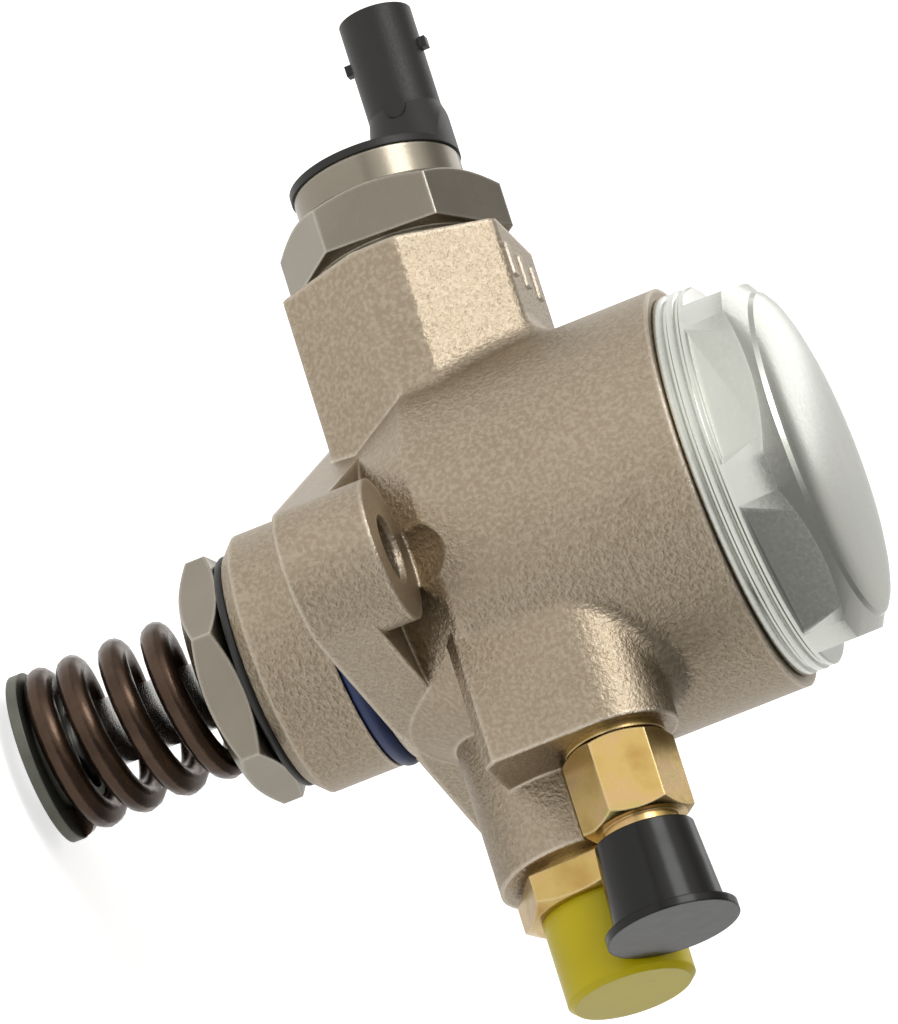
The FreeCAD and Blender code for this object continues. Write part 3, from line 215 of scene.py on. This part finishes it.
class Finish:
    """One surface finish: a Principled surface, its plain values and the nodes that vary it."""

    def __init__(self, name, colour, metallic, roughness):
        self.material = bpy.data.materials.new(name)
        self.material.use_nodes = True
        self.tree = self.material.node_tree
        self.surface = self.tree.nodes["Principled BSDF"]
        self.surface.inputs["Base Color"].default_value = (*colour, 1.0)
        self.surface.inputs["Metallic"].default_value = metallic
        self.surface.inputs["Roughness"].default_value = roughness
        self.place = self.node("ShaderNodeTexCoord", {}, {}).outputs["Object"]

    def feed(self, socket, value):
        if isinstance(value, Number):
            value = value.socket
        if isinstance(value, bpy.types.NodeSocket):
            self.tree.links.new(value, socket)
        else:
            socket.default_value = value

    def colour(self, value):
        self.feed(self.surface.inputs["Base Color"], value)

    def roughness(self, value):
        self.feed(self.surface.inputs["Roughness"], value)

    def node(self, kind, settings, inputs):
        made = self.tree.nodes.new(kind)
        stops = settings.get("stops")
        for name, value in settings.items():
            if name != "stops":
                setattr(made, name, value)
        if stops:
            ramp = made.color_ramp
            while len(ramp.elements) < len(stops):
                ramp.elements.new(0.5)
            for element, (position, colour) in zip(ramp.elements, stops):
                element.position = position
                element.color = (*colour, 1.0)
        for name, value in inputs.items():
            self.feed(made.inputs[name], value)
        return made

    def noise(self, scale, detail=3.0, stretch=(1.0, 1.0, 1.0)):
        """Soft noise, from 0 to 1, with this many grains to the metre."""
        placed = self.node("ShaderNodeMapping", {}, {"Vector": self.place, "Scale": stretch})
        inputs = {"Vector": placed.outputs[0], "Scale": scale, "Detail": detail}
        return Number(self, self.node("ShaderNodeTexNoise", {}, inputs).outputs["Fac"])

    def blend(self, amount, first, second):
        """A colour between two colours."""
        made = self.node("ShaderNodeMix", {"data_type": "RGBA"}, {0: amount, 6: first, 7: second})
        return made.outputs[2]

    def step(self, value, low, high):
        """0 below low, 1 above high, smooth between."""
        made = self.node(
            "ShaderNodeMapRange",
            {"interpolation_type": "SMOOTHSTEP"},
            {"Value": value, "From Min": low, "From Max": high},
        )
        return Number(self, made.outputs["Result"])

    def painted_edge_highlight(self, width):
        """1 along the sharp edges, 0 on the open faces: the mask for a painted highlight on edges.
        """
        round_normal = self.node("ShaderNodeBevel", {"samples": 4}, {"Radius": width}).outputs[0]
        true_normal = self.node("ShaderNodeNewGeometry", {}, {}).outputs["Normal"]
        both = {0: round_normal, 1: true_normal}
        match = self.node("ShaderNodeVectorMath", {"operation": "DOT_PRODUCT"}, both)
        contrast = 6.0
        return (1.0 - Number(self, match.outputs["Value"])) * contrast

    def relief(self, height, depth, rounding=0.0):
        """Bumps of this depth in metres, with the edges rounded by a small radius."""
        inputs = {"Height": height, "Strength": 1.0, "Distance": depth}
        if rounding:
            rounded = self.node("ShaderNodeBevel", {"samples": 4}, {"Radius": rounding})
            inputs["Normal"] = rounded.outputs[0]
        self.feed(self.surface.inputs["Normal"], self.node("ShaderNodeBump", {}, inputs).outputs[0])

    def dress(self, *names):
        for name in names:
            for slot in nodes[name].material_slots:
                slot.material = self.material


nickel = Finish("blasted_nickel_casting", (0.36, 0.3, 0.22), 1.0, 0.4)
skin = nickel.noise(2600.0, 2.0)
clouds = nickel.noise(38.0, 3.0)
grain = nickel.noise(1500.0, 2.0)
# The sharp edges, where a pale nickel is painted on as a highlight; they are also a little
# smoother.
nickel_edge_highlight = nickel.painted_edge_highlight(0.0012).clipped(0.0, 1.0)
dark_nickel = (0.27, 0.215, 0.15, 1.0)
pale_nickel = (0.37, 0.305, 0.225, 1.0)
grain_nickel = (0.5, 0.43, 0.33, 1.0)
nickel_highlight_colour = (0.74, 0.66, 0.55, 1.0)
tint = nickel.blend(clouds, dark_nickel, pale_nickel)
speckled = nickel.blend(nickel.step(grain, 0.35, 0.7) * 0.5, tint, grain_nickel)
nickel.colour(nickel.blend(nickel_edge_highlight * 0.8, speckled, nickel_highlight_colour))
nickel.roughness(0.3 + 0.14 * grain + 0.08 * clouds - 0.1 * nickel_edge_highlight)
nickel.relief(skin * 0.4 + grain * 0.7, 0.0002, 0.0006)
nickel.dress("pump_body")


# The damper cap: one piece of steel with a bright zinc coat, turned with two
# grooves round its flange and a polished dome. The hexagon is milled, and its
# corners are turned off at 30 degrees. It screws into the top of the body.
zinc = Finish("bright_zinc_cap", (0.72, 0.74, 0.72), 1.0, 0.2)
zinc_clouds = zinc.noise(60.0, 3.0)
zinc_spots = zinc.noise(1500.0, 2.0)
# The cap's sharp edges get a painted highlight, a paler zinc.
zinc_edge_highlight = zinc.painted_edge_highlight(0.0008).clipped(0.0, 1.0)
zinc_tint = zinc.blend(zinc_clouds, (0.52, 0.54, 0.5, 1.0), (0.66, 0.665, 0.6, 1.0))
zinc.colour(zinc.blend(zinc_edge_highlight * 0.5, zinc_tint, (0.86, 0.86, 0.82, 1.0)))
zinc.roughness(0.16 + 0.16 * zinc_spots)
zinc.relief(zinc_spots, 0.00001)


def turned(name, rings, sides=160):
    """A turned solid about Z: a disc drawn out through these rings, each a radius and a height."""
    bpy.ops.object.select_all(action="DESELECT")
    radius, height = rings[0]
    bpy.ops.mesh.primitive_circle_add(
        vertices=sides, radius=radius, fill_type="NGON", location=(0.0, 0.0, height)
    )
    piece = bpy.context.object
    piece.name = name
    bpy.ops.object.mode_set(mode="EDIT")
    bpy.ops.mesh.select_all(action="SELECT")
    for next_radius, next_height in rings[1:]:
        bpy.ops.mesh.extrude_region_move(
            TRANSFORM_OT_translate={"value": (0.0, 0.0, next_height - height)}
        )
        growth = next_radius / radius
        bpy.ops.transform.resize(
            value=(growth, growth, 1.0), center_override=(0.0, 0.0, next_height)
        )
        radius, height = next_radius, next_height
    bpy.ops.mesh.select_all(action="SELECT")
    bpy.ops.mesh.normals_make_consistent(inside=False)
    bpy.ops.object.mode_set(mode="OBJECT")
    bpy.ops.object.transform_apply(location=True, rotation=True, scale=True)
    return piece


def joined_by(piece, operation, other):
    """Cuts, joins or trims a piece with another, which is used up."""
    modifier = piece.modifiers.new("milling", "BOOLEAN")
    modifier.operation = operation
    modifier.solver = "EXACT"
    modifier.object = other
    bpy.ops.object.select_all(action="DESELECT")
    bpy.context.view_layer.objects.active = piece
    piece.select_set(True)
    bpy.ops.object.modifier_apply(modifier=modifier.name)
    bpy.data.objects.remove(other)


def softened(piece, width, angle):
    """Rounds every edge that is sharper than this angle, and smooths the rest."""
    bpy.ops.object.select_all(action="DESELECT")
    bpy.context.view_layer.objects.active = piece
    piece.select_set(True)
    bevel = piece.modifiers.new("edges", "BEVEL")
    bevel.width = width
    bevel.segments = 2
    bevel.limit_method = "ANGLE"
    bevel.angle_limit = math.radians(angle)
    bpy.ops.object.modifier_apply(modifier=bevel.name)
    bpy.ops.object.shade_smooth_by_angle(angle=math.radians(30.0))


cap_foot = 0.055
cap_face = 0.068
cap_rise = 0.004
face_radius = 0.0245
flange_radius = 0.0285
thread_radius = 0.02545
thread_foot = 0.0470
hollow_radius = 0.0210
hexagon_flats = 0.052
hexagon_depth = 0.02
hexagon_middle = cap_foot + 0.0145
hexagon_turn = 200.0
edge_rounding = 0.00022
rounded_angle = 25.0
cap_trim = turned("cap_dome", [
    (flange_radius, cap_foot + 0.0045),
    (flange_radius, cap_face - 0.0023),
    (face_radius, cap_face),
    *[
        (
            face_radius * math.cos(math.radians(turn)),
            cap_face + cap_rise * math.sin(math.radians(turn)),
        )
        for turn in (10, 20, 30, 40, 50, 60, 70, 80, 86, 89)
    ],
])
bpy.ops.object.select_all(action="DESELECT")
bpy.ops.mesh.primitive_cylinder_add(
    vertices=6,
    radius=hexagon_flats / math.sqrt(3.0),
    depth=hexagon_depth,
    location=(0.0, 0.0, hexagon_middle),
)
damper_cap = bpy.context.object
damper_cap.name = "domed_damper_cap"
damper_cap.rotation_euler = (0.0, 0.0, math.radians(hexagon_turn))
bpy.ops.object.transform_apply(location=True, rotation=True, scale=True)
joined_by(damper_cap, "INTERSECT", cap_trim)
cap_flange = turned("cap_flange", [
    (hollow_radius, thread_foot),
    (thread_radius, thread_foot),
    (thread_radius, cap_foot),
    (0.0281, cap_foot),
    (flange_radius, cap_foot + 0.0003),
    (flange_radius, cap_foot + 0.0014),
    (0.0279, cap_foot + 0.0016),
    (0.0279, cap_foot + 0.0020),
    (flange_radius, cap_foot + 0.0023),
    (flange_radius, cap_foot + 0.0032),
    (0.0280, cap_foot + 0.0034),
    (0.0280, cap_foot + 0.0038),
    (0.0284, cap_foot + 0.0041),
    (0.0284, cap_foot + 0.0047),
    (0.0281, cap_foot + 0.0050),
    (0.0200, cap_foot + 0.0050),
])
joined_by(damper_cap, "UNION", cap_flange)
cap_hollow = turned("cap_hollow", [(hollow_radius, 0.0460), (hollow_radius, 0.0610)])
joined_by(damper_cap, "DIFFERENCE", cap_hollow)
softened(damper_cap, edge_rounding, rounded_angle)
damper_cap.data.materials.clear()
damper_cap.data.materials.append(zinc.material)
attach(damper_cap, "pump")
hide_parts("damper_cap")


# The hexagon parts in plated steel: the solenoid's housing and the seal
# holder. They are turned and milled from bar, with a very fine grain, and
# their edges are painted brighter as a highlight.
steel = Finish("plated_hexagon_steel", (0.58, 0.54, 0.47), 1.0, 0.24)
steel_clouds = steel.noise(70.0, 3.0)
steel_spots = steel.noise(1800.0, 2.0)
steel_edge_highlight = steel.painted_edge_highlight(0.0008).clipped(0.0, 1.0)
steel_tint = steel.blend(steel_clouds, (0.2, 0.178, 0.14, 1.0), (0.31, 0.28, 0.225, 1.0))
steel.colour(steel.blend(steel_edge_highlight * 0.5, steel_tint, (0.82, 0.78, 0.7, 1.0)))
steel.roughness(0.2 + 0.1 * steel_spots)
steel.relief(steel_spots, 0.000006, 0.0004)
steel.dress("solenoid_housing", "seal_holder")


# The return spring: oil-tempered wire, so dark that it is nearly black, with
# a brown glaze. It is wound with close end turns that are ground flat, and it
# sits between the bush and the seat.
tempered = Finish("oil_tempered_wire", (0.05, 0.035, 0.028), 0.85, 0.22)
oil = tempered.noise(220.0, 3.0)
tempered.colour(
    tempered.blend(oil, (0.035, 0.022, 0.016, 1.0), (0.12, 0.075, 0.05, 1.0))
)
tempered.roughness(0.14 + 0.2 * oil)
tempered.relief(tempered.noise(2500.0, 2.0), 0.00003)

spring_foot = -0.0502
spring_top = -0.0115
spring_turns = 6.75
spring_start = 18.0
close_turns = 0.75
wire_radius = 0.0021
coil_radius = 0.0125 - wire_radius
close_pitch = 0.0043
points_per_turn = 24
steps = round(spring_turns * points_per_turn)
spread = []
for step in range(steps):
    from_end = min(step + 0.5, steps - step - 0.5) / points_per_turn
    share = min(max(from_end - close_turns, 0.0), 1.0)
    spread.append(share * share * (3.0 - 2.0 * share))
close_rise = close_pitch / points_per_turn
open_rise = (spring_top - spring_foot - steps * close_rise) / sum(spread)
wire = bpy.data.curves.new("wound_wire", "CURVE")
wire.dimensions = "3D"
wire.bevel_depth = wire_radius
wire.bevel_resolution = 5
wire.use_fill_caps = True
run = wire.splines.new("POLY")
run.points.add(steps)
height = spring_foot
for step, point in enumerate(run.points):
    turn = math.radians(spring_start) + 2.0 * math.pi * step / points_per_turn
    point.co = (coil_radius * math.cos(turn), coil_radius * math.sin(turn), height, 1.0)
    if step < steps:
        height += close_rise + open_rise * spread[step]
spring = bpy.data.objects.new("wound_return_spring", wire)
bpy.context.scene.collection.objects.link(spring)
bpy.ops.object.select_all(action="DESELECT")
bpy.context.view_layer.objects.active = spring
spring.select_set(True)
bpy.ops.object.convert(target="MESH")
spring = bpy.context.object
bpy.ops.object.mode_set(mode="EDIT")
for cut_height, upper in ((spring_foot, False), (spring_top, True)):
    bpy.ops.mesh.select_all(action="SELECT")
    bpy.ops.mesh.bisect(
        plane_co=(0.0, 0.0, cut_height),
        plane_no=(0.0, 0.0, 1.0),
        use_fill=True,
        clear_inner=not upper,
        clear_outer=upper,
    )
bpy.ops.mesh.select_all(action="SELECT")
bpy.ops.mesh.remove_doubles(threshold=0.000001)
bpy.ops.mesh.normals_make_consistent(inside=False)
bpy.ops.object.mode_set(mode="OBJECT")
bpy.ops.object.shade_smooth_by_angle(angle=math.radians(40.0))
spring.data.materials.append(tempered.material)
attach(spring, "pump")
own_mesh(spring)
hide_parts("return_spring")


# The bright steel below the flange and inside the bores: plunger, keeper,
# liner, valve parts and the damper's rings and diaphragms, all with the fine
# lines of grinding.
ground = Finish("ground_steel", (0.56, 0.56, 0.55), 1.0, 0.18)
ground_lines = ground.noise(900.0, 2.0, (1.0, 1.0, 12.0))
ground.roughness(0.12 + 0.16 * ground_lines)
ground.colour(
    ground.blend(ground_lines, (0.47, 0.46, 0.44, 1.0), (0.62, 0.62, 0.61, 1.0))
)
ground.relief(ground_lines, 0.00001, 0.0003)
ground.dress(
    "plunger", "spring_keeper", "cylinder_liner", "fixed_core", "armature", "valve_pin",
    "intake_valve_seat", "intake_valve", "discharge_seat", "discharge_ball",
    "damper_lower_ring", "damper_upper_ring", "lower_diaphragm", "upper_diaphragm",
    "damper_disc_spring",
)


# The spring seat: a pressed plate with a dull grey-green phosphate coat, held
# on the plunger's foot by its split keeper.
phosphate = Finish("phosphated_seat", (0.12, 0.125, 0.105), 0.9, 0.42)
phosphate_clouds = phosphate.noise(300.0, 3.0)
phosphate.colour(
    phosphate.blend(phosphate_clouds, (0.085, 0.09, 0.075, 1.0), (0.19, 0.19, 0.16, 1.0))
)
phosphate.roughness(0.34 + 0.2 * phosphate_clouds)
phosphate.relief(phosphate.noise(2400.0, 2.0), 0.00003, 0.0003)
phosphate.dress("spring_seat")


# The small springs inside the valves: bright drawn wire.
drawn = Finish("drawn_wire", (0.5, 0.49, 0.47), 1.0, 0.25)
drawn.roughness(0.2 + 0.15 * drawn.noise(1500.0, 2.0))
drawn.dress("armature_spring", "intake_valve_spring", "discharge_spring")


# The rubber rings: dark blue under the flange, black elsewhere.
blue = Finish("blue_rubber", (0.012, 0.03, 0.12), 0.0, 0.45)
blue_bloom = blue.noise(500.0, 3.0)
blue.colour(
    blue.blend(blue_bloom, (0.008, 0.018, 0.08, 1.0), (0.02, 0.045, 0.16, 1.0))
)
blue.roughness(0.36 + 0.2 * blue_bloom)
blue.dress("pilot_o_ring")

black_rubber = Finish("black_rubber", (0.015, 0.015, 0.015), 0.0, 0.5)
black_rubber.roughness(0.4 + 0.2 * black_rubber.noise(500.0, 3.0))
black_rubber.dress("seal_holder_o_ring", "solenoid_o_ring", "damper_cap_o_ring", "plunger_seal")


# The plug socket: glass-filled black plastic, moulded over the coil, satin
# with a fine spark-eroded skin.
moulding = Finish("black_moulding", (0.02, 0.019, 0.018), 0.0, 0.42)
moulding.surface.inputs["Specular IOR Level"].default_value = 0.35
moulding_skin = moulding.noise(3200.0, 2.0)
moulding_clouds = moulding.noise(120.0, 3.0)
moulding.colour(
    moulding.blend(moulding_clouds, (0.01, 0.009, 0.008, 1.0), (0.022, 0.02, 0.017, 1.0))
)
moulding.roughness(0.32 + 0.2 * moulding_skin)
moulding.relief(moulding_skin, 0.00003, 0.0003)
moulding.dress("connector_body")


# The coil: copper wire on a spool of pale plastic, with tinned blades.
spool = Finish("spool_plastic", (0.5, 0.47, 0.4), 0.0, 0.5)
spool.roughness(0.42 + 0.16 * spool.noise(700.0, 2.0))
spool.dress("coil_bobbin", "inlet_filter")

copper = Finish("coil_copper", (0.7, 0.3, 0.15), 1.0, 0.3)
copper.roughness(0.22 + 0.2 * copper.noise(1200.0, 2.0))
copper.dress("coil_winding")

tinned = Finish("tinned_blades", (0.75, 0.74, 0.72), 1.0, 0.25)
tinned.roughness(0.18 + 0.2 * tinned.noise(1400.0, 2.0))
tinned.dress("connector_terminals")


# The two fittings and their washers: turned steel with a yellow passivated
# zinc coat, golden, with the faint pink and green clouds of that coat.
yellow_zinc = Finish("yellow_passivated_fitting", (0.72, 0.5, 0.2), 1.0, 0.24)
film = yellow_zinc.noise(140.0, 3.0)
film_spots = yellow_zinc.noise(1600.0, 2.0)
film_colour = yellow_zinc.node("ShaderNodeValToRGB", {"stops": [
    (0.3, (0.4, 0.25, 0.075)),
    (0.5, (0.52, 0.37, 0.13)),
    (0.62, (0.54, 0.36, 0.17)),
    (0.75, (0.45, 0.38, 0.12)),
]}, {"Fac": film})
# The sharp edges get a painted highlight, a pale gold.
yellow_edge_highlight = yellow_zinc.painted_edge_highlight(0.0006).clipped(0.0, 1.0)
yellow_zinc.colour(
    yellow_zinc.blend(yellow_edge_highlight * 0.5, film_colour.outputs["Color"], (0.9, 0.78, 0.5, 1.0))
)
yellow_zinc.roughness(0.16 + 0.16 * film_spots)
yellow_zinc.relief(film_spots, 0.000006, 0.0003)
yellow_zinc.dress("outlet_fitting", "inlet_fitting", "outlet_washer", "inlet_washer")


# The two transport caps: soft polythene, pushed on. The yellow one is a
# little cloudy in colour, and the black one is glossy.
yellow_cap = Finish("yellow_polythene", (0.66, 0.54, 0.004), 0.0, 0.32)
yellow_cap.surface.inputs["Specular IOR Level"].default_value = 0.3
yellow_skin = yellow_cap.noise(90.0, 2.0)
yellow_cap.colour(
    yellow_cap.blend(yellow_skin, (0.56, 0.45, 0.002, 1.0), (0.72, 0.6, 0.004, 1.0))
)
yellow_cap.roughness(0.26 + 0.12 * yellow_skin)
yellow_cap.relief(yellow_cap.noise(900.0, 2.0), 0.00003, 0.0004)
yellow_cap.dress("outlet_cap")

black_cap = Finish("black_polythene", (0.005, 0.0045, 0.004), 0.0, 0.2)
black_cap.surface.inputs["Specular IOR Level"].default_value = 0.3
black_skin = black_cap.noise(300.0, 2.0)
black_cap.roughness(0.14 + 0.14 * black_skin)
black_cap.relief(black_skin, 0.00003, 0.0004)
black_cap.dress("inlet_cap")
